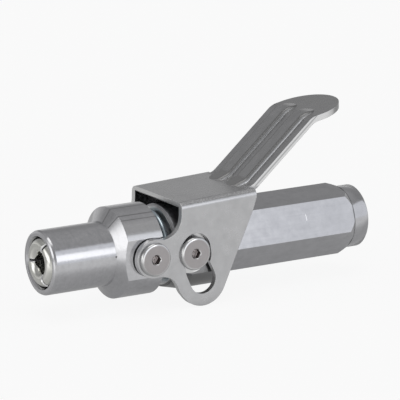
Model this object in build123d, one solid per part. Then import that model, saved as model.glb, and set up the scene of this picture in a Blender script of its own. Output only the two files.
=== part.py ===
from build123d import *
import math
import os

# Grease coupler with a locking lever.
#
# A hexagonal barrel screws into a round body, and a turned sleeve slides on the front of that body.
# Three jaws hook onto the body inside the sleeve's nose. With the lever lying along the barrel the
# sleeve is drawn back, its tapered mouth holds the jaws shut round a grease nipple and the main spring
# is squeezed. Raising the lever by 28 degrees lets the sleeve run 4.8 mm forward, and the jaws open.
#
# Millimetres. The tool's axis is X, with the inlet face at X = 0 and the mouth towards -X. Z is up.
# The lever's cheeks face -Y (left) and +Y (right). Everything is drawn as it stands with the lever down.

# Clearances
RUN = 0.05                    # radial running fit
SIDE = 0.06                   # between a screw head and the cheek it holds
GAP = 0.3                     # between curved faces of different pieces
SEAT = 0.05                   # between a spring's end and the wall it stands on

# Rear barrel
HEX_AF = 18.0                 # across the flats
HEX_TURN = 11.5               # the hexagon's roll about the axis, where its thread came tight
HEX_LEN = 43.8
HEX_CHAMFER = 2.2             # length of the 30 degree chamfer behind
COLLAR_R = HEX_AF / 2 + 0.03  # turned just over the flats
COLLAR_LEN = 4.86
INLET_R = 4.3                 # tapping bore of the 1/8 in pipe thread
INLET_LEN = 11.0
OIL_R = 1.6
SPIGOT_WALL = 2.4
SPIGOT_LEN = 8.0
SEAT_DEPTH = 6.3              # straight part of the check valve's chamber
BALL_R = 2.4
BALL_ROOM = 0.8               # round the ball in its chamber
GASKET_T = 0.8

# Nozzle and what it carries, in the middle of everything
NOZZLE_R = 3.3
NOZZLE_BACK = 5.6             # behind the jaws' tips
NOZZLE_BORE_R = 1.1
CUP_R = 2.55
CUP_DEPTH = 1.8
NOZZLE_STROKE_LEN = 11.7      # narrow bore of the stem
CHAMBER_R = 4.5
SEAL_WIRE = 0.9
FLANGE_T = 1.6                # the nozzle's flange
PLATE_T = 1.2                 # the valve plate

# Radii from the inside out: stem, jaws, sleeve's nose, guide, main spring, flats, bar
STEM_WALL = 1.55
JAW_WALL = 1.4
JAW_STEP = 0.2                # the jaws' heads stand over their shanks
THROAT_WALL = 2.0
THROAT_DEEP = 0.9             # how far the tapered throat opens out inside the nose
GUIDE_STEP = 0.6
SPRING_WIRE = 1.8
SPRING_CLEAR = 0.4
POCKET_WALL = 0.55
FLAT_STEP = 0.65              # the body's flats lie this much lower than the sleeve's
FLAT_DEEP = 1.3
NOSE_DROP = 1.15              # fall of the body's front taper
WASHER_EDGE = 0.65
STEM_R = NOZZLE_R + RUN + STEM_WALL
JAW_SHANK_R = STEM_R + GAP + JAW_WALL
JAW_HEAD_R = JAW_SHANK_R + JAW_STEP
THROAT_R = JAW_HEAD_R + GAP
NOSE_R = THROAT_R + THROAT_WALL
NOSE_BORE_R = THROAT_R + THROAT_DEEP
GUIDE_R = NOSE_BORE_R + GUIDE_STEP             # the sleeve slides on this
SPRING_MEAN_R = GUIDE_R + SPRING_WIRE / 2 + SPRING_CLEAR
POCKET_R = SPRING_MEAN_R + SPRING_WIRE / 2 + GAP
SLEEVE_FLAT = POCKET_R + POCKET_WALL           # half the width over the sleeve's flats
BODY_FLAT = SLEEVE_FLAT - FLAT_STEP
BAR_R = SLEEVE_FLAT + FLAT_DEEP                # the round bar that body and sleeve are turned from
BODY_NOSE_R = BAR_R - NOSE_DROP
WASHER_R = BODY_NOSE_R - WASHER_EDGE

# Lengths of body, spring and sleeve
BODY_LEN = 16.2
BODY_TAPER = 4.8
WASHER_T = 0.7
SPRING_PITCH = 1.88
SPRING_TURNS = 1.85
SLEEVE_GAP = 3.97             # bare spring seen between sleeve and washer
SKIRT_LEN = 11.35
CONE_LEN = 2.27
NOSE_LEN = 19.38
THROAT_IN = 0.75              # the bore's narrowest place, behind the nose's face
TAPER = math.tan(math.radians(7.5))

# Jaws
JAWS = 3
JAW_PROUD = 0.55              # how far the jaw tips stand out of the nose
JAW_LIP = 2.8                 # middle of a lip to the axis
JAW_LIP_R = 4.4               # radius the lips are bored to
JAW_KERF = 0.5
JAW_CROWN_R = 2.1             # round of the jaws' tips, from lip to head
JAW_EASE = 0.28               # bevel along the split edges
JAW_LEN = 18.4
FOOT_BACK = 16.4              # the stem's groove for the jaws' hooks, from the tips
FOOT_LEN = 1.6
FOOT_DEEP = 0.85
JAW_RING_DEEP = 0.8
JAW_BACK = 2.62               # room between the jaws and the guide

# Screws and bushes
HEAD_R = 4.75
HEAD_T = 1.1
HEAD_ROUND = 0.8
SOCKET_AF = 2.5
SOCKET_BEVEL = 0.3
SOCKET_DEPTH = 2.0
PIVOT_SHANK_R = 2.5
PIVOT_WEB = 0.32              # metal between the spring's pocket and the pivot screws' holes
CAM_SHANK_R = 2.0
BUSH_WALL = 0.9
CAM_BUSH_R = CAM_SHANK_R + RUN + BUSH_WALL
CAM_FLANGE_R = 6.1
CAM_BACK = 3.91               # cam screw behind the body's front face
CAM_FLOOR = 1.2               # metal left between a cam screw's hole and the chamber

# Lever, in its own sheet: u runs back from the pivot, v runs up
SHEET = 1.7
CHEEK_CLEAR = 0.5             # between the sleeve's flats and the cheeks
CHEEK_IN = SLEEVE_FLAT + CHEEK_CLEAR           # half the width between the cheeks
LEVER_HALF = CHEEK_IN + SHEET
EAR_R = 5.45
TOP_FRONT = (8.9, 14.7)
TOP_RISE = 0.042
RIDGE_R = 1.9                 # outside of the bend between channel and cheek
FRONT_BEVEL = 0.5             # sheared bevel under the channel's front edge
CHEEK_REAR = 33.3
REAR_HIGH = 5.48              # end of the cheek's leaning rear edge, below the channel's top
THROAT_FILLET = ((2.9, 11.1), 5.9)
RING_R = 7.6
RING_AT = (2.67, -7.85)       # from the cam screw
RING_SLOT_R = CAM_BUSH_R + 1.2
HANDLE_HALF = 10.7
HANDLE_ANGLE = math.radians(40.66)
HANDLE_BEND = CHEEK_REAR + 0.17
HANDLE_LEN = 26.9             # between the handle's two bends
HANDLE_KNEE = HANDLE_BEND + HANDLE_LEN * math.cos(HANDLE_ANGLE)
BEND_R = 4.6                  # upper faces of the handle's two bends
KNEE_R = 6.0
TIP_ANGLE = math.radians(11.4)
TIP_RUN = 3.3
TIP_ROUND_AT = HANDLE_KNEE + TIP_RUN
BEAD_WIDTH = 6.0
BEAD_APART = 3.1              # flat strip between the beads
BEAD_OUT = (BEAD_APART + BEAD_WIDTH) / 2
BEAD_HIGH = 0.95
BEAD_ROUND = 1.1              # of a bead's long shoulders
BEAD_WALL = 1.6               # thickness of a bead's sides
BEAD_FOOT = 4.6               # reach of a bead's gusset over the channel, ahead of the bend
BEAD_HEAD = 4.9               # and of its upper end past the knee
BEAD_RISE = math.radians(20)  # slope of a gusset above the channel

# Stations along the axis, from the inlet forward
X_COLLAR = -COLLAR_LEN
X_HEX = X_COLLAR - HEX_LEN
X_BODY_REAR = X_HEX - GASKET_T
X_BODY = X_BODY_REAR - BODY_LEN
X_WASHER = X_BODY - WASHER_T
X_SKIRT = X_WASHER - SLEEVE_GAP
X_CONE = X_SKIRT - SKIRT_LEN
X_NOSE_ROOT = X_CONE - CONE_LEN
X_NOSE = X_NOSE_ROOT - NOSE_LEN
X_JAW = X_NOSE - JAW_PROUD
X_FOOT = X_JAW + FOOT_BACK
X_GUIDE = X_JAW + JAW_LEN + JAW_BACK
X_STEM = X_FOOT - 2.28
X_SHOULDER = X_STEM + NOZZLE_STROKE_LEN    # where the stem's narrow bore opens into the chamber
X_SPRING = X_WASHER - SPRING_WIRE - SPRING_PITCH * SPRING_TURNS
X_POCKET = X_SPRING - SEAT
X_PIVOT = X_POCKET - PIVOT_WEB - PIVOT_SHANK_R - RUN
X_CAM = X_BODY + CAM_BACK
X_SPIGOT = X_HEX - SPIGOT_LEN
CAM_U = X_CAM - X_PIVOT
HEX_R = HEX_AF / 2 / math.cos(math.radians(30))
SPIGOT_R = CHAMBER_R + RUN + SPIGOT_WALL
VALVE_R = BALL_R + BALL_ROOM


def turned(*points):
    """A solid of revolution about the X axis from (x, r) corners."""
    return revolve(make_face(Polyline(*points, close=True)), Axis.X, 360)


def cylinder(x0, x1, r):
    """A round bar along X."""
    return Plane.YZ.offset(min(x0, x1)) * extrude(Circle(r), abs(x1 - x0))


def ring(x0, x1, inner, outer):
    return cylinder(x0, x1, outer) - cylinder(x0, x1, inner)


def across(x, z, r, y0, y1):
    """A round bar along Y at (x, z)."""
    return Pos(x, (y0 + y1) / 2, z) * Rot(90, 0, 0) * Cylinder(r, abs(y1 - y0))


def coil(x0, mean_r, wire, pitch, turns):
    """A helical spring along +X whose first wire rests at x0."""
    path = Helix(pitch, pitch * turns, mean_r)
    start = Plane(origin=path @ 0, z_dir=path % 0)
    spring = sweep(start * Circle(wire / 2), path=path, is_frenet=True)
    return Pos(x0 + wire / 2, 0, 0) * Rot(0, 90, 0) * spring


def torus_ring(x, mean_r, wire):
    return Pos(x, 0, 0) * Rot(0, 90, 0) * Torus(mean_r, wire / 2)


def hex_barrel():
    """Hexagon bar with a turned collar, the inlet thread behind and the valve spigot in front."""
    hexagon = Plane.YZ.offset(X_HEX) * Rot(0, 0, HEX_TURN) * extrude(RegularPolygon(HEX_R, 6), HEX_LEN)
    full = HEX_R + 1
    rear_r = HEX_R - HEX_CHAMFER * math.tan(math.radians(30))
    trim = turned((X_HEX, 0), (X_HEX, HEX_R - 0.9), (X_HEX + 0.9, full - 0.6), (X_HEX + 1.2, full),
                  (X_COLLAR - HEX_CHAMFER - (full - HEX_R) / math.tan(math.radians(30)), full),
                  (X_COLLAR, rear_r), (X_COLLAR, 0))
    collar = turned((X_COLLAR, 0), (X_COLLAR, COLLAR_R), (-0.4, COLLAR_R), (0, COLLAR_R - 0.4), (0, 0))
    spigot = turned((X_SPIGOT, 0), (X_SPIGOT, SPIGOT_R - 0.6), (X_SPIGOT + 0.6, SPIGOT_R),
                    (X_HEX, SPIGOT_R), (X_HEX, 0))
    bar = hexagon & trim
    bar = bar + collar + spigot
    seat = X_SPIGOT + SEAT_DEPTH
    passage = turned((X_SPIGOT, 0), (X_SPIGOT, VALVE_R), (seat, VALVE_R), (seat + VALVE_R - OIL_R, OIL_R),
                     (-INLET_LEN - 2.0, OIL_R), (-INLET_LEN, INLET_R), (0, INLET_R), (0, 0))
    return bar - passage


def barrel_gasket():
    """Copper sealing ring between the body and the barrel's shoulder."""
    return ring(X_BODY_REAR, X_HEX, SPIGOT_R + RUN, HEX_AF / 2 - 0.4)


def body():
    """Round body with two flats, the sleeve's guide in front of it and the jaw stem in front of that."""
    solid = turned(
        (X_BODY_REAR, 0), (X_BODY_REAR, BAR_R - 1.0), (X_BODY_REAR - 1.0, BAR_R),
        (X_BODY + BODY_TAPER, BAR_R), (X_BODY, BODY_NOSE_R), (X_BODY, GUIDE_R),
        (X_GUIDE + 0.5, GUIDE_R), (X_GUIDE, GUIDE_R - 0.5), (X_GUIDE, STEM_R),
        (X_FOOT + FOOT_LEN, STEM_R), (X_FOOT + FOOT_LEN, STEM_R - FOOT_DEEP),
        (X_FOOT, STEM_R - FOOT_DEEP), (X_FOOT, STEM_R),
        (X_STEM + 0.4, STEM_R), (X_STEM, STEM_R - 0.4), (X_STEM, 0))
    inside = turned(
        (X_STEM, 0), (X_STEM, NOZZLE_R + RUN), (X_SHOULDER, NOZZLE_R + RUN), (X_SHOULDER, CHAMBER_R),
        (X_SPIGOT, CHAMBER_R), (X_SPIGOT, SPIGOT_R + RUN), (X_BODY_REAR, SPIGOT_R + RUN), (X_BODY_REAR, 0))
    solid -= inside
    for side in (-1, 1):
        solid -= Pos((X_BODY + X_BODY_REAR) / 2, side * (BODY_FLAT + 5), 0) * Box(BODY_LEN + 2, 10, 3 * BAR_R)
        solid -= across(X_CAM, 0, CAM_SHANK_R + RUN, side * (CHAMBER_R + CAM_FLOOR), side * (BODY_FLAT + 1))
    return solid


def sleeve():
    """Turned sleeve: straight nose, steep cone and a wide skirt with a flat for each lever cheek."""
    outside = turned(
        (X_NOSE, 0), (X_NOSE, NOSE_R - 0.8), (X_NOSE + 0.25, NOSE_R - 0.25), (X_NOSE + 0.8, NOSE_R),
        (X_NOSE_ROOT, NOSE_R), (X_CONE, BAR_R), (X_SKIRT - 0.3, BAR_R), (X_SKIRT, BAR_R - 0.3), (X_SKIRT, 0))
    throat = X_NOSE + THROAT_IN
    bore = X_NOSE_ROOT - 0.9
    taper_end = throat + (NOSE_BORE_R - THROAT_R) / TAPER
    inside = turned(
        (X_NOSE, 0), (X_NOSE, THROAT_R + 0.45), (throat, THROAT_R), (taper_end, NOSE_BORE_R),
        (bore, NOSE_BORE_R), (bore + 0.6, GUIDE_R + RUN), (X_POCKET, GUIDE_R + RUN), (X_POCKET, POCKET_R),
        (X_SKIRT, POCKET_R), (X_SKIRT, 0))
    solid = outside - inside
    for side in (-1, 1):
        middle = (X_CONE + X_SKIRT) / 2
        solid -= Pos(middle, side * (SLEEVE_FLAT + 5), 0) * Box(SKIRT_LEN + CONE_LEN * 2, 10, 3 * BAR_R)
        solid -= across(X_PIVOT, 0, PIVOT_SHANK_R + RUN, side * (GUIDE_R - 1), side * (SLEEVE_FLAT + 1))
    return solid


def main_spring():
    return coil(X_SPRING, SPRING_MEAN_R, SPRING_WIRE, SPRING_PITCH, SPRING_TURNS)


def spring_washer():
    """Thin washer under the main spring, lying on the body's front face and cut clear of the bushes."""
    disc = ring(X_WASHER, X_BODY, GUIDE_R + RUN, WASHER_R)
    return disc & Pos(X_BODY, 0, 0) * Box(6 * WASHER_T, 2 * (BODY_FLAT - 0.1), 3 * WASHER_R)


def jaw_profile():
    """Half section through a jaw, from the round of its tip to its hooked foot."""
    head = X_NOSE + THROAT_IN
    shoulder = X_JAW + 5.5
    shoulder_r = JAW_HEAD_R + (shoulder - head) * TAPER
    hook = STEM_R - FOOT_DEEP + GAP
    groove = X_JAW + JAW_LEN - 3.8
    # The crown's arc runs from the lip over the foremost point to where the taper begins.
    crown = X_JAW + JAW_CROWN_R
    crown_r = JAW_HEAD_R - math.sqrt(JAW_CROWN_R ** 2 - (crown - head) ** 2)
    lip = (crown, crown_r - JAW_CROWN_R)
    with BuildSketch() as sketch:
        with BuildLine():
            ThreePointArc(lip, (X_JAW, crown_r), (head, JAW_HEAD_R))
            Polyline(
                (head, JAW_HEAD_R), (shoulder, shoulder_r), (shoulder + 0.7, JAW_SHANK_R),
                (groove, JAW_SHANK_R), (groove, JAW_SHANK_R - JAW_RING_DEEP),
                (groove + 1.0, JAW_SHANK_R - JAW_RING_DEEP), (groove + 1.0, JAW_SHANK_R),
                (X_JAW + JAW_LEN, JAW_SHANK_R), (X_JAW + JAW_LEN, STEM_R + GAP),
                (X_FOOT + FOOT_LEN - 0.2, STEM_R + GAP), (X_FOOT + FOOT_LEN - 0.2, hook),
                (X_FOOT + 0.2, hook), (X_FOOT + 0.2, STEM_R + GAP), (X_JAW + 7.8, STEM_R + GAP),
                (X_JAW + 6.6, NOZZLE_R + 0.4), (crown + 0.8, NOZZLE_R + 0.4), (crown + 0.3, lip[1]), lip)
        make_face()
    return sketch.sketch


def jaw(angle):
    """One third of the jaw ring: rounded tip, lip, nipple pocket, tapered head, shank and hooked foot."""
    reach = JAW_LEN + 2
    # The lips are bored round a centre beyond the axis.
    bore = Plane.YZ.offset(X_JAW - 1) * Pos(JAW_LIP_R - JAW_LIP, 0) * extrude(
        Circle(JAW_LIP_R), JAW_CROWN_R + 1.7)
    half = 2 * math.pi / JAWS / 2
    slant = JAW_KERF / 2 / math.sin(half)
    far = 12.0
    wedge = make_face(Polyline(
        (-slant, 0), (-slant - far * math.cos(half), far * math.sin(half)), (-slant - far, far),
        (-3 * far, 0), (-slant - far, -far), (-slant - far * math.cos(half), -far * math.sin(half)),
        close=True))
    sector = Plane.YZ.offset(X_JAW - 1) * extrude(wedge, reach)
    piece = revolve(jaw_profile(), Axis.X, 360) & sector
    splits = [e for e in piece.edges() if e.bounding_box().min.X < X_JAW + 0.05]
    piece = chamfer(splits, JAW_EASE) - bore
    return Rot(-angle, 0, 0) * piece


def jaw_ring():
    """Spring ring lying in the groove round the jaws, which keeps their hooks in the stem's groove."""
    wire = 0.84
    mean_r = JAW_SHANK_R - JAW_RING_DEEP + RUN + wire / 2 + 0.06
    return torus_ring(X_JAW + JAW_LEN - 3.3, mean_r, wire)


def nozzle():
    """Sliding nozzle: a tube with a cupped tip for its seal, an O-ring groove and a flanged end."""
    tip = X_JAW + NOZZLE_BACK
    flange = X_SHOULDER + SEAT
    groove = X_STEM + 4.0
    groove_r = NOZZLE_R - 0.85
    tail_r = CHAMBER_R - 1.9
    outside = turned(
        (tip, 0), (tip, NOZZLE_R - 0.4), (tip + 0.4, NOZZLE_R), (groove, NOZZLE_R), (groove, groove_r),
        (groove + 1.1, groove_r), (groove + 1.1, NOZZLE_R), (flange, NOZZLE_R),
        (flange, CHAMBER_R - 0.15), (flange + FLANGE_T, CHAMBER_R - 0.15),
        (flange + FLANGE_T, tail_r), (flange + 3.4, tail_r), (flange + 3.4, 0))
    inside = turned((tip, 0), (tip, CUP_R), (tip + CUP_DEPTH, CUP_R), (tip + CUP_DEPTH, NOZZLE_BORE_R),
                    (flange + 3.4, NOZZLE_BORE_R), (flange + 3.4, 0))
    return outside - inside


def nozzle_seal():
    """Rubber lip seal in the nozzle's cup, which the nipple's head presses on."""
    tip = X_JAW + NOZZLE_BACK
    seal_r = CUP_R - 0.02
    return turned((tip - 0.35, seal_r - 0.23), (tip, seal_r), (tip + CUP_DEPTH, seal_r),
                  (tip + CUP_DEPTH, NOZZLE_BORE_R), (tip + 0.7, NOZZLE_BORE_R), (tip - 0.35, seal_r - 0.63))


def nozzle_o_ring():
    wire = 0.84
    return torus_ring(X_STEM + 4.55, NOZZLE_R + 0.02 - wire / 2, wire)


def seal_spring():
    """Keeps the nozzle forward, from the nozzle's flange back to the valve plate."""
    start = X_SHOULDER + SEAT + FLANGE_T
    length = X_SPIGOT - PLATE_T - start
    turns = 7.0
    mean_r = CHAMBER_R - 0.45 - SEAL_WIRE / 2
    return coil(start, mean_r, SEAL_WIRE, (length - SEAL_WIRE) / turns, turns)


def valve_plate():
    """Drilled disc between the nozzle's spring and the check valve."""
    return ring(X_SPIGOT - PLATE_T, X_SPIGOT, 1.2, CHAMBER_R - RUN)


def ball_centre():
    """Where the ball lies on its 45 degree seat."""
    return X_SPIGOT + SEAT_DEPTH + VALVE_R - BALL_R * math.sqrt(2) - 0.03


def check_ball():
    return Pos(ball_centre(), 0, 0) * Sphere(BALL_R)


def check_spring():
    wire, turns, mean_r = 0.5, 4.0, 1.35
    length = ball_centre() - math.sqrt(BALL_R ** 2 - mean_r ** 2) - X_SPIGOT - 0.2
    return coil(X_SPIGOT, mean_r, wire, (length - wire) / turns, turns)


def cheek_outline():
    """Side view of the lever's cheeks and channel, in the sheet's own u and v."""
    (fu, fv), fr = THROAT_FILLET
    (ru, rv), rr = ring_centre(), RING_R
    ear_top = (EAR_R * fu / (EAR_R + fr), EAR_R * fv / (EAR_R + fr))
    rear_head = (CHEEK_REAR - 1.1, top_line(CHEEK_REAR - 1.1) - REAR_HIGH)
    # The rear edge leaves the ring along the line that touches it and ends at rear_head.
    away = math.atan2(rear_head[1] - rv, rear_head[0] - ru)
    touch = away - math.acos(rr / math.hypot(rear_head[0] - ru, rear_head[1] - rv))
    rear_foot = (ru + rr * math.cos(touch), rv + rr * math.sin(touch))
    top_rear = (CHEEK_REAR, top_line(CHEEK_REAR))
    with BuildSketch() as sketch:
        with BuildLine():
            front = Line(TOP_FRONT, (fu + fr, fv))
            mid = math.radians(-55)
            neck = ThreePointArc(front @ 1, (fu + fr * math.cos(mid), fv + fr * math.sin(mid)), ear_top)
            ear = ThreePointArc(neck @ 1, (-EAR_R, 0), (0.6, -math.sqrt(EAR_R ** 2 - 0.36)))
            toe = math.radians(219)
            ring_start = (ru + rr * math.cos(toe), rv + rr * math.sin(toe))
            Spline(ear @ 1, (2.9, -5.5), (ru - 10.38, -6.25), (ru - 8.53, rv - 0.35),
                   (ru - 7.58, rv - 2.45), ring_start,
                   tangents=((1, 0.11), (-math.sin(toe), math.cos(toe))))
            Line(rear_foot, rear_head)
            Line(rear_head, (CHEEK_REAR, rear_head[1] + 3.2))
            Line((CHEEK_REAR, rear_head[1] + 3.2), top_rear)
            Line(top_rear, TOP_FRONT)
            ThreePointArc(ring_start, (ru, rv - rr), rear_foot)
        make_face()
    return sketch.sketch


def ring_centre():
    return CAM_U + RING_AT[0], RING_AT[1]


def top_line(u):
    """Height of the channel's upper face above the pivot."""
    return TOP_FRONT[1] + (u - TOP_FRONT[0]) * TOP_RISE


def cam_slot():
    """Slot for the cam bush: an upper lobe, a tapering run past the detent, and the ring's lobe."""
    lobe = Pos(*ring_centre()) * Circle(RING_SLOT_R)
    upper_r = CAM_BUSH_R + 1.75
    upper = make_hull((Pos(CAM_U + 0.47, 0.95) * Circle(upper_r)).edges()
                      + (Pos(CAM_U + 0.77, -0.9) * Circle(upper_r)).edges())
    front = make_hull((Pos(CAM_U - 0.13, -1.5) * Circle(CAM_BUSH_R + 0.7)).edges() + lobe.edges())
    rear = make_hull((Pos(CAM_U + 1.26, -4.75) * Circle(CAM_BUSH_R + 1.15)).edges() + lobe.edges())
    return upper + front + rear


def set_back(line, depth):
    """The same side view line, set back by a depth on its lower side."""
    moved = []
    for i, (u, v) in enumerate(line):
        a, b = line[max(i - 1, 0)], line[min(i + 1, len(line) - 1)]
        before = math.atan2(v - a[1], u - a[0]) if i else math.atan2(b[1] - v, b[0] - u)
        after = math.atan2(b[1] - v, b[0] - u) if i < len(line) - 1 else before
        turn = (before + after) / 2
        reach = depth / math.cos((after - before) / 2)
        moved.append((u + reach * math.sin(turn), v - reach * math.cos(turn)))
    return moved


def handle_line():
    """Upper line of the handle: along the channel, up at 41 degrees, then over to the thumb tip."""
    start = HANDLE_BEND - 9.0
    knee_v = top_line(HANDLE_BEND) + (HANDLE_KNEE - HANDLE_BEND) * math.tan(HANDLE_ANGLE)
    tip = TIP_ROUND_AT + HANDLE_HALF
    return [(start, top_line(start)), (HANDLE_BEND, top_line(HANDLE_BEND)), (HANDLE_KNEE, knee_v),
            (tip, knee_v + (tip - HANDLE_KNEE) * math.tan(TIP_ANGLE))]


def handle_side():
    """Side view of the bent sheet. The lower bend turns up and the knee turns down."""
    line = handle_line()
    under = set_back(line, SHEET)
    face = make_face(Polyline(*line, *reversed(under), close=True))
    for corner, r in ((line[1], BEND_R), (under[1], BEND_R + SHEET), (line[2], KNEE_R), (under[2], KNEE_R - SHEET)):
        face = fillet(face.vertices().sort_by_distance((corner[0], corner[1], 0))[0], r)
    return face


def bead_line():
    """Crest of a bead: gusset over the lower bend, straight up the handle, down into the thumb tip."""
    start, bend, knee, tip = handle_line()
    raised = set_back([bend, knee, tip], -BEAD_HIGH)
    slope, rise = math.tan(HANDLE_ANGLE), math.tan(BEAD_RISE)
    foot = (bend[0] - BEAD_FOOT, top_line(bend[0] - BEAD_FOOT) - 0.1)
    # The gusset climbs from its foot until it meets the crest along the handle.
    run = (foot[1] - raised[0][1] - (foot[0] - raised[0][0]) * slope) / (slope - rise)
    turn = (foot[0] + run, foot[1] + run * rise)
    crest = raised[1]
    head = (knee[0] + BEAD_HEAD, knee[1] + BEAD_HEAD * math.tan(TIP_ANGLE) - 0.1)
    low = (2 * foot[0] - turn[0], 2 * foot[1] - turn[1])
    high = (2 * head[0] - crest[0], 2 * head[1] - crest[1])
    return [low, turn, crest, high]


def bead(side, half, depth, thick):
    """Round-ended bar that follows a bead's crest, set back from it by a depth."""
    line = set_back(bead_line(), depth)
    face = make_face(Polyline(*line, *reversed(set_back(line, thick)), close=True))
    for corner, r in ((line[1], BEND_R - BEAD_HIGH), (line[2], KNEE_R)):
        face = fillet(face.vertices().sort_by_distance((corner[0], corner[1], 0))[0], r)
    bar = Pos(0, side * BEAD_OUT, 0) * (Plane.XZ * extrude(face, half, both=True))
    front, back = HANDLE_BEND - BEAD_FOOT, HANDLE_KNEE + BEAD_HEAD
    ends = Pos((front + back) / 2, side * BEAD_OUT) * SlotOverall(back - front, 2 * half)
    return bar & extrude(ends, 3 * HANDLE_KNEE)


def pressed(side):
    """A bead's raised side, with its shoulders rounded."""
    bar = bead(side, BEAD_WIDTH / 2, 0, BEAD_HIGH + SHEET / 3)
    upper = [f for f in bar.faces() if f.normal_at().Z > 0.3]
    walls = [f for f in bar.faces() if abs(f.normal_at().Z) < 0.01]
    shoulders = [e for e in bar.edges() if any(e.is_same(x) for f in upper for x in f.edges())
                 and any(e.is_same(x) for f in walls for x in f.edges())]
    return fillet(shoulders, BEAD_ROUND)


def lever():
    """Stamped lever: channel over the body, a cheek each side with ear and cam slot, bent handle."""
    outline = cheek_outline()
    block = Plane.XZ * extrude(outline, LEVER_HALF, both=True)
    ridge = [e for e in block.edges() if e.length > 20
             and abs(abs(e.center().Y) - LEVER_HALF) < 1e-6 and e.center().Z > TOP_FRONT[1] - 1]
    block = fillet(ridge, RIDGE_R)
    ahead, behind, below = -20, CHEEK_REAR + 30, -40
    lip = TOP_FRONT[0]
    under = make_face(Polyline(
        (ahead, below), (behind, below), (behind, top_line(behind) - SHEET),
        (lip + FRONT_BEVEL, top_line(lip + FRONT_BEVEL) - SHEET),
        (lip, top_line(lip) - SHEET + FRONT_BEVEL), (ahead, top_line(ahead) - SHEET + FRONT_BEVEL), close=True))
    hollow = Plane.XZ * extrude(under, CHEEK_IN, both=True)
    ceiling = [e for e in hollow.edges() if e.center().Z > 0 and e.center().X > lip + FRONT_BEVEL
               and abs(abs(e.center().Y) - CHEEK_IN) < 1e-6]
    hollow = fillet(ceiling, RIDGE_R - SHEET)
    channel = block - hollow
    slot = Plane.XZ * extrude(cam_slot(), LEVER_HALF + 1, both=True)
    pivot = across(0, 0, PIVOT_SHANK_R + RUN, -LEVER_HALF - 1, LEVER_HALF + 1)
    channel -= slot + pivot

    handle = Plane.XZ * extrude(handle_side(), HANDLE_HALF, both=True)
    plan = Pos(TIP_ROUND_AT / 2, 0) * Rectangle(TIP_ROUND_AT, 2 * HANDLE_HALF)
    plan += Pos(TIP_ROUND_AT, 0) * Circle(HANDLE_HALF)
    handle = handle & extrude(plan, 3 * HANDLE_KNEE)
    # Each bead is pressed: raised above the sheet, and hollow beneath.
    solid = channel + handle
    for side in (-1, 1):
        solid += pressed(side)
    for side in (-1, 1):
        solid -= bead(side, BEAD_WIDTH / 2 - BEAD_WALL, SHEET, SHEET)
    return Pos(X_PIVOT, 0, 0) * solid


def screw(x, side, shank_r, tip_y):
    """Low flat-headed screw with a hexagon socket, standing in a cheek or bush, head outwards."""
    under = LEVER_HALF + SIDE
    head = fillet(Cylinder(HEAD_R, HEAD_T).edges().sort_by(Axis.Z)[-1], HEAD_ROUND)
    head = Pos(0, 0, under + HEAD_T / 2) * head
    shank = Pos(0, 0, (under + tip_y) / 2) * Cylinder(shank_r, under - tip_y)
    hexagon = RegularPolygon(SOCKET_AF / 2, 6, major_radius=False)
    socket = Pos(0, 0, under + HEAD_T - SOCKET_DEPTH) * extrude(hexagon, SOCKET_DEPTH + 1)
    mouth = SOCKET_BEVEL + 0.1
    bevel = Pos(0, 0, under + HEAD_T + 0.1 - mouth / 2) * Cone(SOCKET_AF / 2, SOCKET_AF / 2 + mouth, mouth)
    piece = head + shank - socket - bevel
    return Pos(x, 0, 0) * Rot(-90 * side, 0, 0) * piece


def cam_bush(side):
    """Flanged bush round the cam screw: its flange lies on the body's flat, its barrel in the slot."""
    flange = across(X_CAM, 0, CAM_FLANGE_R, side * BODY_FLAT, side * (CHEEK_IN - GAP))
    barrel = across(X_CAM, 0, CAM_BUSH_R, side * BODY_FLAT, side * (LEVER_HALF + SIDE))
    hole = across(X_CAM, 0, CAM_SHANK_R + RUN, side * (BODY_FLAT - 1), side * (LEVER_HALF + 1))
    return flange + barrel - hole


def main():
    os.makedirs("parts", exist_ok=True)
    pieces = {
        "hex_barrel": hex_barrel(),
        "barrel_gasket": barrel_gasket(),
        "body": body(),
        "sleeve": sleeve(),
        "main_spring": main_spring(),
        "spring_washer": spring_washer(),
        "jaw_ring": jaw_ring(),
        "nozzle": nozzle(),
        "nozzle_seal": nozzle_seal(),
        "nozzle_o_ring": nozzle_o_ring(),
        "seal_spring": seal_spring(),
        "valve_plate": valve_plate(),
        "check_ball": check_ball(),
        "check_spring": check_spring(),
        "lever": lever(),
    }
    for n in range(JAWS):
        pieces[f"jaw_{n + 1}"] = jaw(n * 360 / JAWS)
    for side, name in ((-1, "left"), (1, "right")):
        pieces[f"pivot_screw_{name}"] = screw(X_PIVOT, side, PIVOT_SHANK_R, GUIDE_R + RUN + GAP)
        pieces[f"cam_screw_{name}"] = screw(X_CAM, side, CAM_SHANK_R, CHAMBER_R + CAM_FLOOR + GAP)
        pieces[f"cam_bush_{name}"] = cam_bush(side)
    for name, piece in pieces.items():
        export_step(piece, f"parts/{name}.step")
        box = piece.bounding_box()
        print(f"{name:20s} solids {len(piece.solids())} volume {piece.volume:9.1f} "
              f"x {box.min.X:8.2f} {box.max.X:8.2f} y {box.min.Y:7.2f} {box.max.Y:7.2f} "
              f"z {box.min.Z:7.2f} {box.max.Z:7.2f}")


main()
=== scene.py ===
# %% [markdown]
# # A grease coupler, dressed for its picture
#
# The solids come from the imported CAD model: a hexagon barrel, a round body, a sliding sleeve with three
# jaws in its mouth, and a stamped lever that locks them. This script gives them their finishes, with some
# light and shade painted into their colours, winds the springs, cuts the inlet's thread and sets up a small
# photo studio.
# Everything is in metres. The tool's axis is X, with the mouth towards -X and Z up.

# %% Load the frame
import math

import bmesh
import bpy
from mathutils import Matrix, Vector


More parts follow.
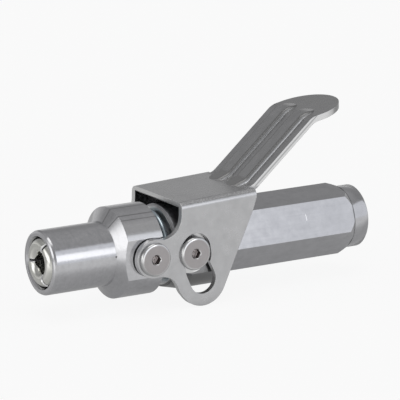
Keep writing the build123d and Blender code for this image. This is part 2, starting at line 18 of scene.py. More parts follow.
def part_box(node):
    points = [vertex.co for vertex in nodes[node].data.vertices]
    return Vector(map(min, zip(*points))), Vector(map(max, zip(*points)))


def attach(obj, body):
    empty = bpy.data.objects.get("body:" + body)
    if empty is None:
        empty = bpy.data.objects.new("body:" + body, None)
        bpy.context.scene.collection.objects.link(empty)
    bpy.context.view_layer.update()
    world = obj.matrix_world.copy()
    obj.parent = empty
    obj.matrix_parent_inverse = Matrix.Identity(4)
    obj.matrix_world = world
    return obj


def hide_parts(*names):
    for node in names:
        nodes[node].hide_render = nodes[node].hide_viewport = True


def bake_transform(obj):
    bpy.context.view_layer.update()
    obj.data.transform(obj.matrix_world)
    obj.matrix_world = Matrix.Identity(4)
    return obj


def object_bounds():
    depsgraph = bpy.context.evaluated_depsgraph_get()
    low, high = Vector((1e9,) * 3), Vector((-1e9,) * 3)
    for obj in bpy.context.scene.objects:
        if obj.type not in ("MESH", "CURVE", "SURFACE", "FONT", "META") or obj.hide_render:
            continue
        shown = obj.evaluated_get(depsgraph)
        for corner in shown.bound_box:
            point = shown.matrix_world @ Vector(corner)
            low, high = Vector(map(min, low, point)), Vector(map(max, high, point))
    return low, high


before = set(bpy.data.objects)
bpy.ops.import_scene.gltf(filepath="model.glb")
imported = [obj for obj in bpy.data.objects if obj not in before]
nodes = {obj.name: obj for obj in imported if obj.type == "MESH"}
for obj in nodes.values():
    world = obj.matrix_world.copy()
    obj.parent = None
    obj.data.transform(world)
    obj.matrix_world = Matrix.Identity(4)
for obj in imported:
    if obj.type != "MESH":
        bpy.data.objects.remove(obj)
cad_box = [list(corner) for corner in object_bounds()]
MM = 0.001

# %% [markdown]
# ## The camera
#
# The picture was taken with a long lens from the left and a little above. A long lens keeps the hexagon's
# edges nearly parallel. The place and the lens were fitted to the straight edges and the round rims of the
# tool in the photograph, which fixes the view better than the eye can.

# %% Camera
SENSOR = 36.0
FOCAL_LENGTH = 289.44
CAMERA_AT = (-0.50708, -0.75719, 0.22055)
FORWARD = Vector((0.50164, 0.83377, -0.23060))
ROLL = math.radians(-0.507)

camera_data = bpy.data.cameras.new("camera")
camera_data.sensor_width = SENSOR
camera_data.lens = FOCAL_LENGTH
camera_data.clip_end = 20
camera = bpy.data.objects.new("camera", camera_data)
bpy.context.scene.collection.objects.link(camera)
turn = FORWARD.to_track_quat("-Z", "Y").to_matrix() @ Matrix.Rotation(ROLL, 3, "Z")
camera.matrix_world = Matrix.Translation(CAMERA_AT) @ turn.to_4x4()
bpy.context.scene.camera = camera
print("camera looks along", [round(v, 3) for v in FORWARD])

# %% [markdown]
# ## Node trees as expressions
#
# A finish is a small tree of nodes. Written node by node it is hard to read, so one class wraps a socket
# and lets Python's operators add the Math nodes: `1 - mask * 0.5` is then two nodes in one short
# expression. Everything else comes from one method, `node`, which takes the node's type, its settings and
# the values or links of its sockets. Most masks are made with `step`, a soft threshold.

# %% The wrapper for sockets
class Wire:
    """A socket of a node tree, with the operators that the finishes use."""

    def __init__(self, tree, socket):
        self.tree, self.socket = tree, socket

    def node(self, kind, settings=None, out=0, **sockets):
        """Adds a node; a socket's keyword is its name with _ for a space, or s0, s1 for its number."""
        made = self.tree.nodes.new(kind)
        for name, value in (settings or {}).items():
            setattr(made, name, value)
        for name, value in sockets.items():
            number = name[1:]
            key = int(number) if name[0] == "s" and number.isdigit() else name.replace("_", " ")
            if isinstance(value, Wire):
                self.tree.links.new(value.socket, made.inputs[key])
            else:
                made.inputs[key].default_value = value
        return Wire(self.tree, made.outputs[out] if made.outputs else None)

    def math(self, operation, *others):
        given = {f"s{n}": value for n, value in enumerate((self,) + others)}
        return self.node("ShaderNodeMath", {"operation": operation}, **given)

    def __add__(self, other):
        return self.math("ADD", other)

    def __sub__(self, other):
        return self.math("SUBTRACT", other)

    def __mul__(self, other):
        return self.math("MULTIPLY", other)

    def __truediv__(self, other):
        return self.math("DIVIDE", other)

    def __abs__(self):
        return self.math("ABSOLUTE")

    def __rsub__(self, other):
        return self.node("ShaderNodeMath", {"operation": "SUBTRACT"}, s0=other, s1=self)

    __radd__, __rmul__ = __add__, __mul__

    def step(self, low, high):
        """0 below low, 1 above high, smooth between; low above high turns it round."""
        return self.node("ShaderNodeMapRange", {"interpolation_type": "SMOOTHSTEP"},
                         Value=self, From_Min=low, From_Max=high)

    def parts(self):
        """The three numbers of a vector."""
        split = self.tree.nodes.new("ShaderNodeSeparateXYZ")
        self.tree.links.new(self.socket, split.inputs[0])
        return [Wire(self.tree, s) for s in split.outputs]

    def dot(self, vector):
        return self.node("ShaderNodeVectorMath", {"operation": "DOT_PRODUCT"}, out="Value",
                         s0=self, s1=vector)

    def scaled(self, vector):
        """The vector times another, part by part."""
        return self.node("ShaderNodeVectorMath", {"operation": "MULTIPLY"}, s0=self, s1=vector)

    def mix(self, a, b):
        """Colour a where this mask is 0 and b where it is 1."""
        return self.node("ShaderNodeMix", {"data_type": "RGBA"}, out=2, s0=self, s6=a, s7=b)


def start(tree):
    """Empties a tree and returns a wire that only adds nodes to it."""
    tree.nodes.clear()
    return Wire(tree, None)


def radius(a, b):
    """Distance from an axis, from the two coordinates across it."""
    return (a * a + b * b).math("SQRT")


def grey(level, tint=(1, 1, 1)):
    return tuple(level * t for t in tint) + (1.0,)


print("operators:", [name for name in ("__add__", "__rsub__", "__mul__") if hasattr(Wire, name)])

# %% [markdown]
# ## The studio
#
# Bare metal has no colour of its own: it shows the room. The photograph's bright and dark bands say where
# the light stood, because each flat face of the tool mirrors one direction. A wide soft box at the front
# right shines on the near faces, another stands beyond the mouth on the left, and a small one hangs
# overhead under a dim ceiling. A panel behind the tool is darker still. So the room is painted on the world
# by direction, one box after the other. The camera alone sees plain white there, so that no horizon shows
# from the side.

# %% Soft boxes on the world
WHITE_ROOM = 0.95
BOXES = [
    # azimuth, elevation, half width, half height, edge, strength, tint; the third row is the dark panel
    (35, 10, 1.3, 0.60, 0.03, 0.93, (0.97, 0.99, 1.04)),
    (-91, 6, 0.30, 0.16, 0.42, 1.72, (1, 1, 1)),
    (180, 32, 0.47, 0.20, 0.06, 0.305, (1, 1, 1.01)),
    (0, 86, 0.24, 0.24, 0.12, 1.7, (1, 0.995, 0.985)),
]


def toward(azimuth, elevation):
    """Direction to a point of the room. Azimuth 0 is -Y, the side that the picture shows, and 90 is +X."""
    a, e = math.radians(azimuth), math.radians(elevation)
    return Vector((math.sin(a) * math.cos(e), -math.cos(a) * math.cos(e), math.sin(e)))


def soft_box(ray, azimuth, elevation, half_width, half_height, edge):
    """Mask of a rectangle of light, measured in tangents about its middle."""
    middle = toward(azimuth, elevation)
    side = toward(azimuth + 90, 0)
    up = side.cross(middle)
    if up.z < 0:
        up = -up
    ahead = ray.dot(middle)
    near = ahead.math("MAXIMUM", 0.02)
    across = abs(ray.dot(side) / near)
    along = abs(ray.dot(up) / near)
    return (across.step(half_width + edge, half_width) * along.step(half_height + edge, half_height)
            * ahead.step(0.0, 0.05))


world = bpy.data.worlds.new("studio")
bpy.context.scene.world = world
world.use_nodes = True
w = start(world.node_tree)
ray = w.node("ShaderNodeTexCoord", out="Generated")
height = ray.parts()[2]
sky = height.step(0.08, 0.38).mix(grey(0.64), grey(0.33, (1, 1, 1.01)))
sky = height.step(0.55, 0.80).mix(sky, grey(0.40, (1, 1, 1.01)))
light = height.step(-0.02, 0.05).mix(grey(0.85), sky)
for azimuth, elevation, wide, tall, edge, strength, tint in BOXES:
    light = soft_box(ray, azimuth, elevation, wide, tall, edge).mix(light, grey(strength, tint))
seen = w.node("ShaderNodeLightPath", out="Is Camera Ray")
light = seen.mix(light, grey(WHITE_ROOM))
room = w.node("ShaderNodeBackground", Color=light, Strength=1.0)
w.node("ShaderNodeOutputWorld", Surface=room)
print(len(BOXES), "soft boxes on the world")

# %% [markdown]
# One more light stands close by, as a real lamp, because a lamp that is near shows in one part of the tool
# and not in the next. It gives the nose the bright streak that the collar behind lacks.

# %% Lamp
MOUTH = (-0.09, 0.0, 0.0)


def lamp(name, place, aim, width, tall, radiance):
    """A soft box of a given brightness: its power follows from its size."""
    data = bpy.data.lights.new(name, "AREA")
    data.shape = "RECTANGLE"
    data.size, data.size_y = width, tall
    data.energy = radiance * math.pi * width * tall
    lit = bpy.data.objects.new(name, data)
    bpy.context.scene.collection.objects.link(lit)
    out = Vector(aim) - Vector(place)
    lit.matrix_world = Matrix.Translation(place) @ out.to_track_quat("-Z", "Y").to_matrix().to_4x4()


lamp("nose_box", place=(0.17, -0.50, 0.185), aim=MOUTH, width=0.09, tall=0.2, radiance=1.1)

# %% [markdown]
# ## The floor
#
# The tool stands on a sheet of pale paper. For the camera most of the sheet glows, which makes it nearly
# white, and the rest is plain matt paper, which keeps the tool's shadow. The metal mirrors the sheet too,
# and there light and shade are painted on it by place: a painted shadow under the tool, brighter in front,
# and a painted pool of light beyond the mouth. From below the sheet is clear, so that the tool can be
# looked at from there.

# %% Floor
FLOOR_Z = cad_box[0][2] - 0.0002
REACH = 4.0
GLOW_SEEN, GLOW_MIRRORED = 0.90, 0.65
PAINTED_SHADOW_UNDER_TOOL, IN_FRONT, PAINTED_POOL_BEYOND_MOUTH = grey(0.46), grey(0.95), grey(1.8)

floor_mesh = bpy.data.meshes.new("floor")
corners = [(-REACH, -REACH), (REACH, -REACH), (REACH, REACH), (-REACH, REACH)]
floor_mesh.from_pydata([(x, y, FLOOR_Z) for x, y in corners], [], [(0, 1, 2, 3)])
floor = bpy.data.objects.new("floor", floor_mesh)
bpy.context.scene.collection.objects.link(floor)
paper = bpy.data.materials.new("floor_paper")
paper.use_nodes = True
w = start(paper.node_tree)
matt = w.node("ShaderNodeBsdfDiffuse", Color=grey(0.80))
clear = w.node("ShaderNodeBsdfTransparent")
seen = w.node("ShaderNodeLightPath", out="Is Camera Ray")
mirrored = w.node("ShaderNodeLightPath", out="Is Glossy Ray")
x, y, _ = w.node("ShaderNodeTexCoord", out="Object").parts()
# What the metal mirrors is painted: a shadow under the tool, light in front, and a pool of light beyond the
# mouth.
beside = x.step(-0.075, -0.062) * x.step(-0.010, -0.025)
ahead = y.step(-0.014, -0.048).math("MAXIMUM", y.step(-0.008, -0.022) * beside)
pool = x.step(-0.100, -0.200) * abs(y).step(0.055, 0.02)
shade = mirrored.mix(grey(1.0), pool.mix(ahead.mix(PAINTED_SHADOW_UNDER_TOOL, IN_FRONT), PAINTED_POOL_BEYOND_MOUTH))
glow = w.node("ShaderNodeEmission", Color=shade, Strength=1.0)
sheet = w.node("ShaderNodeMixShader", s0=seen * GLOW_SEEN + mirrored * GLOW_MIRRORED, s1=matt, s2=glow)
under = w.node("ShaderNodeNewGeometry", out="Backfacing")
sheet = w.node("ShaderNodeMixShader", s0=under, s1=sheet, s2=clear)
w.node("ShaderNodeOutputMaterial", Surface=sheet)
floor.data.materials.append(paper)
print("floor at", round(FLOOR_Z, 4))

# %% [markdown]
# ## Finishes
#
# Every piece is metal but the seals, so what tells them apart is how the surface was made. Turned steel has
# fine rings round the axis, drawn bar has lines along it, rolled sheet has a mottled skin, and a screw's
# head is blasted to a satin grey. One function makes them all: grain stretched the right way, a broader
# mottle under it, and lighter edges. A Bevel node finds the edges: where its softened normal leaves the
# true one there is an edge, and an edge is rounder, and its colour is lighter, partly as wear and partly as
# a painted highlight.

# %% Metal
DRAWN_OUT = 0.02
SOIL_SPOTS = 110.0
BEVEL_SAMPLES = 6


def grain_lines(place, grain, scale):
    """Coordinates that stretch a noise into rings, lines or plain grain."""
    if grain == "turned":
        x, y, z = place.parts()
        rings = place.node("ShaderNodeCombineXYZ", X=x, Y=radius(y, z), Z=0.0)
        return rings.scaled((scale,) * 3)
    if grain == "drawn":
        return place.scaled((scale * DRAWN_OUT, scale, scale))
    return place.scaled((scale,) * 3)


def metal(name, colour, rough, grain="sheet", scale=3000, bump=1e-6, mottle=0.06, spots=420, grit=0.12,
          edge=0.00012, bright=0.12, metallic=1.0, marks=None):
    """A finish for one kind of metal. Lengths are in metres. Mottle and grit are how much the broad spots
    and the fine grain change the tone, and bright how much an edge is lightened, partly as wear and partly
    as a painted highlight. marks gives the places that differ: a mask, a colour and a roughness for each."""
    made = bpy.data.materials.new(name)
    made.use_nodes = True
    w = start(made.node_tree)
    place = w.node("ShaderNodeTexCoord", out="Object")
    fine = w.node("ShaderNodeTexNoise", Vector=grain_lines(place, grain, scale), Scale=1.0, Detail=3.0,
                  Roughness=0.6)
    broad = w.node("ShaderNodeTexNoise", Vector=place, Scale=spots, Detail=4.0, Roughness=0.55)
    soil = w.node("ShaderNodeTexNoise", Vector=place, Scale=SOIL_SPOTS, Detail=3.0, Roughness=0.5)
    rounded = w.node("ShaderNodeBevel", {"samples": BEVEL_SAMPLES}, Radius=edge)
    true = w.node("ShaderNodeNewGeometry", out="Normal")
    # Edges are lightened in colour: partly wear, partly a painted highlight.
    worn_and_highlit = (1 - rounded.dot(true)).step(0.02, 0.2)
    level = 1 + (fine - 0.5) * grit + (broad - 0.5) * (mottle * 3) + (soil - 0.5) * (mottle * 1.5)
    level = level + worn_and_highlit * bright
    tone = w.node("ShaderNodeVectorMath", {"operation": "SCALE"}, s0=tuple(colour), Scale=level)
    roughness = rough + (broad - 0.5) * 0.12 + (fine - 0.5) * (grit * 0.5)
    for mask, shade, dull in (marks(w, place) if marks else []):
        tone = mask.mix(tone, shade)
        roughness = roughness + mask * (dull - roughness)
    relief = w.node("ShaderNodeBump", Strength=1.0, Distance=bump, Height=fine, Normal=rounded)
    relief = w.node("ShaderNodeBump", Strength=1.0, Distance=bump * 8, Height=broad, Normal=relief)
    shader = w.node("ShaderNodeBsdfPrincipled", Base_Color=tone, Metallic=metallic, Roughness=roughness,
                    Normal=relief)
    w.node("ShaderNodeOutputMaterial", Surface=shader)
    return made


print("grains: turned, drawn and sheet")

# %% [markdown]
# The lever carries painted light and shade. The long corners of the channel have a speckled painted
# highlight. The sides of the two pressed beads and their raised feet at the bend are rougher and painted
# darker, darkest where they slope most, as painted shade that damps their reflections. The front of the
# channel was sheared and carries a painted highlight, and so does the handle's cut edge, with a thin darker
# line along its middle. Past the handle's second bend the sheet is painted darker, as shade, and the cut
# edge's highlight greys to painted shade as it goes round the end.
# Some masks go by place and some by the way the surface faces, because a bead's side is easier to name by
# its slope than by its outline. BEND is where the channel turns up into the handle, and the two outward
# directions are square to the handle and to its flatter tip.

# %% Marks on the lever
BEND = Vector((-0.041088, 0.0, 0.015732))
SLOPE = math.radians(40.66)
OUTWARD = Vector((-math.sin(SLOPE), 0, math.cos(SLOPE)))
TIP_OUTWARD = Vector((-0.1977, 0, 0.9803))
TOP_RISE = 0.042
HANDLE_START = BEND.x + BEND.z
BEADS_END = (0.0100, 0.0095)
MIDDLE_LINE_DEPTH = 0.0008
TIP_ROUND = round(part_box("lever")[1][0] - 0.010, 4)
print("the handle's tip rounds off from x =", TIP_ROUND)


def lever_marks(w, place):
    x, y, z = place.parts()
    normal = w.node("ShaderNodeTexCoord", out="Normal")
    lean = abs(normal.dot((0, 1, 0)))
    under_top = z - (x - BEND.x) * TOP_RISE
    on_handle = (x + z).step(HANDLE_START, HANDLE_START + 0.0006) * z.step(0.0155, 0.0160)
    by_beads = abs(y).step(*BEADS_END)

    # A painted, speckled highlight along the channel's long corners.
    corner = abs(y).step(0.0118, 0.0126) * under_top.step(0.0145, 0.0152) * x.step(-0.0405, -0.0415)
    speckle = w.node("ShaderNodeTexNoise", Vector=place, Scale=2600.0, Detail=2.0).step(0.47, 0.62)
    # Painted shade on the handle past its second bend.
    shaded_past_knee = x.step(-0.0220, -0.0195) * on_handle
    # Painted shade on the beads' sides and their feet at the bend, darkest where they slope most; it damps
    # their reflections.
    shaded_bead_side = lean.step(0.03, 0.08) * by_beads * on_handle
    shaded_gusset = ((under_top - BEND.z).step(0.00002, 0.0001) * x.step(-0.0462, -0.0460)
              * x.step(-0.0400, -0.0410))
    shaded_steep_side = lean.step(0.10, 0.18) * lean.step(0.85, 0.70) * by_beads * on_handle.math("MAXIMUM", shaded_gusset)
    tilt = normal.dot(tuple(OUTWARD)).math("MAXIMUM", normal.dot(tuple(TIP_OUTWARD)))
    # A painted highlight on the handle's cut edge, greying to painted shade round the tip, with a thin
    # darker line along its middle.
    cut = abs(tilt).step(0.35, 0.20) * on_handle
    painted_cut_edge_light = x.step(TIP_ROUND, TIP_ROUND + 0.006).mix(grey(0.80), grey(0.42))
    depth = place.dot(tuple(OUTWARD)) - BEND.dot(OUTWARD)
    edge_middle_line = cut * abs(depth + MIDDLE_LINE_DEPTH).step(0.0003, 0.00012) * abs(y).step(0.0100, 0.0105)
    # A painted highlight on the sheared front of the channel.
    front = normal.dot((-1, 0, 0)).step(0.5, 0.8) * (1 - on_handle)
    return [(corner * speckle * 0.6, grey(0.85), 0.25), (shaded_past_knee * 0.6, grey(0.41), 0.28),
            (shaded_bead_side, grey(0.38), 0.42), (shaded_gusset * by_beads, grey(0.42), 0.34), (shaded_steep_side, grey(0.27), 0.42),
            (cut, painted_cut_edge_light, 0.2), (edge_middle_line, grey(0.50), 0.3), (front, grey(0.80), 0.32)]


# %% [markdown]
# A socket head screw is turned bright at its rim and blasted dull on its face, and its rim is also painted
# lighter as a highlight. Its rounded rim has a painted highlight on the upper left. The socket is painted
# with light and shade: its matt floor is painted bright as light, the wall behind it is painted dark as
# shade, and its bevel has a painted highlight at the lower right. The masks measure the distance from the
# nearer of the two screws' axes, which both cross the tool's own axis, and the depth below the head's face.
# The flanges of the bushes under the cam screws have a painted bright rim and a painted highlight on their
# lower right.

# %% Marks on the screws and the bushes
SCREW_AXES = (-0.074558, -0.06175)
MIDWAY = sum(SCREW_AXES) / 2
HEAD_FACE = 0.01501
HAIR = 0.00001
SOCKET_R = (0.00178, 0.00172)
FLOOR_DEPTH = (0.00185, 0.00195)
BEVEL_DEPTH = (0.00040, 0.00030)


def screw_marks(w, place):
    x, y, z = place.parts()
    off = x.step(MIDWAY - HAIR, MIDWAY + HAIR) * (SCREW_AXES[0] - SCREW_AXES[1]) + x - SCREW_AXES[0]
    r = radius(off, z)
    depth = HEAD_FACE - abs(y)
    # The rim: turned bright, and painted lighter as a highlight.
    rim = r.step(0.0039, 0.0043)
    # A painted highlight on the rim's upper left.
    painted_gleam = r.step(0.0039, 0.0041) * r.step(0.0046, 0.0044) * ((z - off) / r).step(0.80, 1.20)
    inside = r.step(*SOCKET_R) * depth.step(0.00002, 0.00006)
    # The socket: painted shade on the wall, painted light on the floor, and a painted highlight on the
    # bevel's lower right.
    wall = off.step(-0.0002, 0.0003).mix(grey(0.55), (0.09, 0.075, 0.075, 1))
    bottom = depth.step(*FLOOR_DEPTH)
    painted_recess = bottom.mix(wall, (1.0, 0.96, 0.95, 1))
    bevel = ((off * 0.85 - z * 0.5) / r).step(0.20, 0.60).mix(grey(0.58), grey(1.0))
    painted_recess = depth.step(*BEVEL_DEPTH).mix(painted_recess, bevel)
    return [(rim, grey(0.56), 0.20), (painted_gleam, grey(1.0), 0.18), (inside, painted_recess, bottom * 0.8 + 0.2)]


def bush_marks(w, place):
    x, _, z = place.parts()
    off = x - SCREW_AXES[1]
    r = radius(off, z)
    # A painted highlight on the flange's lower right, and a painted lighter band along its rim.
    painted_gleam = ((off * 0.75 - z) / r).step(1.02, 1.20) * r.step(0.0050, 0.0053)
    return [(r.step(0.0048, 0.0052), grey(0.66), 0.2), (painted_gleam, grey(1.0), 0.12)]


print("screws' axes at x =", SCREW_AXES)

# %% [markdown]
# The jaws were one ring before a saw split them. The slits' walls are matt and painted a darker grey, as
# painted shade, and their bevels are ground bright and painted lighter as a highlight. A slit's wall is the
# only place where a jaw faces round the axis, and a mask can ask for that.
# The body is painted darker low down, from a few millimetres below the axis, as shade.

# %% Marks on the jaws and the body
def jaw_marks(w, place):
    _, y, z = place.parts()
    _, ny, nz = w.node("ShaderNodeTexCoord", out="Normal").parts()
    across = abs((ny * z - nz * y) / radius(y, z))
    # Painted highlight on the slits' bevels; painted shade on their matt walls.
    return [(across.step(0.40, 0.60), grey(0.85), 0.17), (across.step(0.90, 0.97), grey(0.40), 0.80)]


def body_painted_shade(w, place):
    z = place.parts()[2]
    # Painted shade: darker low down.
    return [(z.step(-0.004, -0.008), grey(0.26), 0.22)]


print("bevel from 0.40 and wall from 0.90 of facing round the axis")

# %% [markdown]
# Small marks make the big plain pieces believable. The sleeve's skirt and cone carry three fine dark lines
# that run along the tool, which are painted reflections. Each line lies in a plane through the axis, so its
# mask is the distance from that plane. Between the flat and the lowest of the lines the skirt has a painted
# highlight, and there is a pit at the foot of the cone. The hexagon has one short scratch across its front,
# and painted shade in the crease where its collar begins.

# %% Marks on the sleeve and the barrel
CONE_START, SKIRT_START, COLLAR_START = -0.0840, -0.08168, -0.00492
PAINTED_REFLECTION_LINES = [
    # angle above the horizontal, where it starts, half its width, strength
    (62.4, CONE_START, 0.00030, 0.75),
    (54.3, SKIRT_START, 0.00022, 0.7),
    (82.0, CONE_START, 0.00040, 0.6),
]
PIT = (-0.08405, -0.00904, 0.00100)
SCRATCH_X, SCRATCH_Z, SCRATCH_LEAN = -0.02114, 0.0037, -0.08


def sleeve_marks(w, place):
    x, y, z = place.parts()
    slope = z / (y * -1)
    # A painted highlight on the skirt between the flat and the lowest line.
    painted_shoulder_highlight = (slope.step(1.39, 1.0) * slope.step(0.45, 0.50) * y.step(0.0, -0.001)
                * x.step(-0.0818, -0.0814))
    marks = [(painted_shoulder_highlight * 0.5, grey(0.82), 0.17)]
    # Painted reflections: fine dark lines along the tool.
    for angle, low, width, strength in PAINTED_REFLECTION_LINES:
        a = math.radians(angle)
        off = abs(z * math.cos(a) + y * math.sin(a))
        line = off.step(width, width * 0.3) * y.step(0.0, -0.0001) * x.step(low, low + 0.0002)
        marks.append((line * strength, grey(0.22), 0.3))
    pit = place.node("ShaderNodeVectorMath", {"operation": "DISTANCE"}, out="Value", s0=place, s1=PIT)
    marks.append((pit.step(0.00036, 0.00018), grey(0.2), 0.5))
    return marks


def barrel_marks(w, place):
    x, y, z = place.parts()
    up = z - SCRATCH_Z
    scratch = (abs(x - SCRATCH_X - up * SCRATCH_LEAN).step(0.00016, 0.00006)
               * abs(up).step(0.0010, 0.0007) * y.step(-0.007, -0.0075))
    # Painted shade in the crease where the collar begins.
    collar_crease_shade = abs(x - COLLAR_START).step(0.00026, 0.00010)
    return [(scratch, grey(1.0), 0.4), (collar_crease_shade * 0.8, grey(0.10), 0.4)]


print(len(PAINTED_REFLECTION_LINES), "lines, a pit and a scratch")

# %% [markdown]
# Now each finish is made once, and each node wears one. Most of the steels have nearly one colour, and the
# roughness and the grain tell them apart: the nose and the hexagon are smooth, the lever's sheet is duller,
# and the screws' blasted faces are dullest. The body is darker. The washer is painted pale and the springs'
# steel lighter, as painted light in the shade inside the tool.

# %% The finishes, and which node wears which
TURNED = (0.56, 0.56, 0.575)
FINISHES = {
    "turned_steel": metal("turned_steel", TURNED, 0.20, "turned", 5000, mottle=0.09, spots=900),
    "sleeve_steel": metal("sleeve_steel", TURNED, 0.17, "turned", 5000, mottle=0.09, spots=900,
                          marks=sleeve_marks),
    "body_steel": metal("body_steel", (0.37, 0.37, 0.385), 0.22, "turned", 5000, mottle=0.09, spots=900,
                        marks=body_painted_shade),
    # Painted light: the washer is pale so that it shows in the shade under the lever.
    "washer_painted_light": metal("washer_painted_light", (0.92, 0.92, 0.92), 0.30, "turned", 5000),
    "bush_steel": metal("bush_steel", TURNED, 0.20, "turned", 5000, marks=bush_marks),
    "drawn_steel": metal("drawn_steel", (0.55, 0.55, 0.565), 0.17, "drawn", 3000, mottle=0.08,
                         marks=barrel_marks),
    "sheet_steel": metal("sheet_steel", (0.54, 0.54, 0.547), 0.26, "sheet", 1600, 5e-7, mottle=0.10,
                         spots=300, grit=0.04, edge=0.0002, bright=0.2, marks=lever_marks),
    "screw_steel": metal("screw_steel", (0.425, 0.405, 0.405), 0.33, "sheet", 6000, edge=0.0001,
                         marks=screw_marks),
    "jaw_steel": metal("jaw_steel", (0.70, 0.70, 0.66), 0.17, "turned", 3000, marks=jaw_marks),
    # Painted light: the springs' bluish steel is lighter than it is, to show in the shade inside the tool,
    # and its edges are lightened more.
    "spring_steel": metal("spring_steel", (0.46, 0.53, 0.57), 0.20, "sheet", 3000, bright=0.5),
    "ball_steel": metal("ball_steel", (0.6, 0.6, 0.6), 0.08, "sheet", 1000),
    "copper": metal("copper", (0.72, 0.36, 0.24), 0.3, "turned", 3000),
    "seal_rubber": metal("seal_rubber", (0.02, 0.026, 0.02), 0.5, "sheet", 3000, metallic=0.0),
}

WORN = {
    "sleeve": "sleeve_steel", "body": "body_steel", "hex_barrel": "drawn_steel",
    "spring_washer": "washer_painted_light", "nozzle": "turned_steel",
    "jaw_1": "jaw_steel", "jaw_2": "jaw_steel", "jaw_3": "jaw_steel", "jaw_ring": "spring_steel",
    "main_spring": "spring_steel", "seal_spring": "spring_steel", "check_spring": "spring_steel",
    "lever": "sheet_steel", "check_ball": "ball_steel", "valve_plate": "copper",
    "barrel_gasket": "copper", "nozzle_seal": "seal_rubber", "nozzle_o_ring": "seal_rubber",
    "cam_bush_left": "bush_steel", "cam_bush_right": "bush_steel",
    "pivot_screw_left": "screw_steel", "pivot_screw_right": "screw_steel",
    "cam_screw_left": "screw_steel", "cam_screw_right": "screw_steel",
}
for name, node in nodes.items():
    node.data.materials.clear()
    node.data.materials.append(FINISHES[WORN[name]])
print(len(FINISHES), "finishes on", len(WORN), "nodes")

# %% [markdown]
# ## Springs
#
# A coil spring is one wire wound on a helix, so it follows a rule, and Geometry Nodes wind it: a spiral
# with a circle swept along it. One tree makes all three springs from their wire, radius, pitch and turns.
# Each spring stands between two bodies that move apart, and the table names them; the finished mesh is kept
# as it is wound, and is not blended between them.

# %% A tree that winds a spring
WIRE_SIDES = 20


def new_tree(name, inputs):
    """A Geometry Nodes tree with named inputs; returns it, a wire to add nodes with, and its inputs."""
    tree = bpy.data.node_groups.new(name, "GeometryNodeTree")
    for title, kind in inputs:
        tree.interface.new_socket(name=title, in_out="INPUT", socket_type="NodeSocket" + kind)
    tree.interface.new_socket(name="Geometry", in_out="OUTPUT", socket_type="NodeSocketGeometry")
    given = tree.nodes.new("NodeGroupInput")
    return tree, Wire(tree, None), {title: Wire(tree, given.outputs[title]) for title, _ in inputs}


def made_mesh(name, tree, values):
    """Runs a tree on an empty object and keeps the result as a plain mesh."""
    piece = bpy.data.objects.new(name, bpy.data.meshes.new(name))
    bpy.context.scene.collection.objects.link(piece)
    run = piece.modifiers.new("shape", "NODES")
    run.node_group = tree
    for item in tree.interface.items_tree:
        if item.in_out == "INPUT":
            run[item.identifier] = values[item.name]
    shaped = piece.evaluated_get(bpy.context.evaluated_depsgraph_get())
    mesh = bpy.data.meshes.new_from_object(shaped)
    piece.modifiers.remove(run)
    piece.data = mesh
    print(name, len(mesh.polygons), "faces")
    return piece


coil_tree, w, given = new_tree("wound_spring", [
    ("Start", "Float"), ("Mean Radius", "Float"), ("Wire", "Float"), ("Pitch", "Float"),
    ("Turns", "Float"), ("Steps per Turn", "Float"), ("Finish", "Material")])
spiral = w.node("GeometryNodeCurveSpiral", Resolution=given["Steps per Turn"],
                Rotations=given["Turns"], Start_Radius=given["Mean Radius"],
                End_Radius=given["Mean Radius"], Height=given["Pitch"] * given["Turns"])
first = w.node("ShaderNodeCombineXYZ", X=given["Start"] + given["Wire"] * 0.5)
laid = w.node("GeometryNodeTransform", Geometry=spiral, Translation=first, Rotation=(0, math.pi / 2, 0))
section = w.node("GeometryNodeCurvePrimitiveCircle", Resolution=WIRE_SIDES, Radius=given["Wire"] * 0.5)
swept = w.node("GeometryNodeCurveToMesh", Curve=laid, Profile_Curve=section, Fill_Caps=True)
swept = w.node("GeometryNodeSetShadeSmooth", Geometry=swept)
swept = w.node("GeometryNodeRealizeInstances", Geometry=swept)
swept = w.node("GeometryNodeSetMaterial", Geometry=swept, Material=given["Finish"])
w.node("NodeGroupOutput", Geometry=swept)
print("inputs:", list(given))

# %% Wind the springs
SPRINGS = [
    # node, wire in mm, turns, body at its rear, body at its front
    ("main_spring", 1.8, 1.85, "body", "sleeve"),
    ("seal_spring", 0.9, 7.0, "body", "nozzle"),
    ("check_spring", 0.5, 4.0, "check_ball", "body"),
]
for name, wire, turns, rear, front in SPRINGS:
    low, high = (Vector(c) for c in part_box(name))
    wire *= MM
    spring = made_mesh(name + "_wound", coil_tree, {
        "Start": low.x, "Mean Radius": (high.y - low.y - wire) / 2, "Wire": wire,
        "Pitch": (high.x - low.x - wire) / turns, "Turns": turns, "Steps per Turn": 48.0,
        "Finish": FINISHES["spring_steel"]})
    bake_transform(spring)
    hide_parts(name)

# %% [markdown]
# ## The inlet's thread
#
# A grease hose screws into the rear of the barrel, so its bore has a fine pipe thread. The CAD solid has a
# plain bore at the thread's inner radius. The groove could be cut with a boolean, which is slow and leaves
# poor faces. Here the bore's wall is taken out of a copy of the barrel and a new wall is woven in its
# place, row by row. Each point goes outward by the depth that the helix has there, and the depth fades at
# both ends, so that the wall meets the old rims.

# %% Take the plain wall out of the bore
BORE_R, BORE_END = 0.0043, -0.011
MERGE = 1e-6
AT_RIM = 1e-5

barrel = bpy.data.objects.new("hex_barrel_threaded", nodes["hex_barrel"].data.copy())
bpy.context.scene.collection.objects.link(barrel)
shape = bmesh.new()
shape.from_mesh(barrel.data)
bmesh.ops.remove_doubles(shape, verts=shape.verts, dist=MERGE)


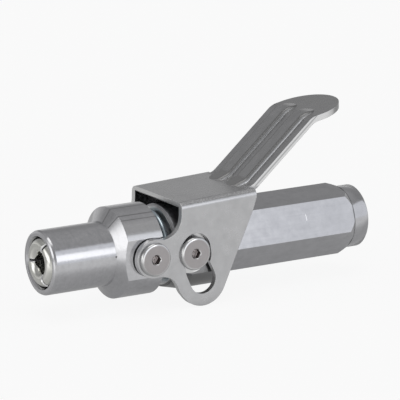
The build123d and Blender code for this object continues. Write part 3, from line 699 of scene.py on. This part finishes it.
def on_bore(v):
    round_enough = abs(math.hypot(v.co.y, v.co.z) - BORE_R) < 2 * AT_RIM
    return round_enough and BORE_END - AT_RIM < v.co.x < AT_RIM


wall = [f for f in shape.faces if all(on_bore(v) for v in f.verts)]
bmesh.ops.delete(shape, geom=wall, context="FACES")
rims = [[v for v in shape.verts if on_bore(v) and abs(v.co.x - at) < AT_RIM] for at in (BORE_END, 0.0)]
for rim in rims:
    rim.sort(key=lambda v: math.atan2(v.co.z, v.co.y))
print("wall faces taken out:", len(wall), "rims:", [len(rim) for rim in rims])

# %% Weave the threaded wall
PITCH, DEPTH = 0.000907, 0.00052
GROOVE = 0.42
MOUTH_PLAIN, MOUTH_FADE = 0.0003, 0.0008
END_PLAIN, END_FADE = 0.0004, 0.0016
ROWS = round(-BORE_END / PITCH * 8)


def thread_depth(x, angle):
    """How far the groove goes into the metal: a triangle wave along a helix, faded at both ends."""
    turn = (x / PITCH + angle / (2 * math.pi)) % 1.0
    fade = min(1.0, max(0.0, -x - MOUTH_PLAIN) / MOUTH_FADE,
               max(0.0, x - BORE_END - END_PLAIN) / END_FADE)
    return DEPTH * max(0.0, 1 - abs(turn - 0.5) / GROOVE) * fade


back, front = rims
rows = [back]
for n in range(1, ROWS):
    row = []
    for a, b in zip(back, front):
        x = BORE_END + (b.co.x - a.co.x) * n / ROWS
        angle = math.atan2(a.co.z, a.co.y)
        r = BORE_R + thread_depth(x, angle)
        row.append(shape.verts.new((x, r * math.cos(angle), r * math.sin(angle))))
    rows.append(row)
rows.append(front)
for low, high in zip(rows, rows[1:]):
    for k in range(len(low)):
        shape.faces.new((low[k], high[k], high[k - 1], low[k - 1])).smooth = True
bmesh.ops.recalc_face_normals(shape, faces=shape.faces)
print("open edges:", sum(not e.is_manifold for e in shape.edges), "faces:", len(shape.faces))
shape.to_mesh(barrel.data)
shape.free()
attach(barrel, "body")
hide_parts("hex_barrel")

# %% [markdown]
# ## Finish
#
# The Standard view shows each colour as it is written.

# %% Finish
scene = bpy.context.scene
scene.view_settings.view_transform = "Standard"
